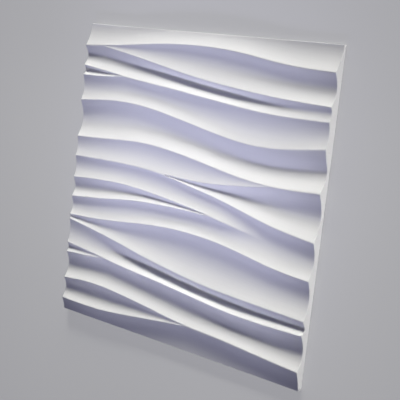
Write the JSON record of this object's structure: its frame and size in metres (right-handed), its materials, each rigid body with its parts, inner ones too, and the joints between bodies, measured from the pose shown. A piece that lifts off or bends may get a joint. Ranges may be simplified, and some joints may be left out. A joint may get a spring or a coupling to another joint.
{
  "type": "3d wall panel tile",
  "caption": "Square cast gypsum wall panel with a flat back and a carved front of long merging wave ridges, hung edge to edge as a relief wall covering.",
  "frame": {"origin": "centre of the flat back", "axes": "+Z out of the carved front, +Y towards the edge that is uppermost as the panel is hung, +X to the right as it is looked at; the panel lies on its back"},
  "size_m": [0.6, 0.6, 0.022],
  "materials": {
    "gypsum": "white cast gypsum, matte with a slight satin bloom, fine pores on the back"
  },
  "bodies": {
    "root": {"wave_panel": "gypsum"}
  },
  "joints": []
}
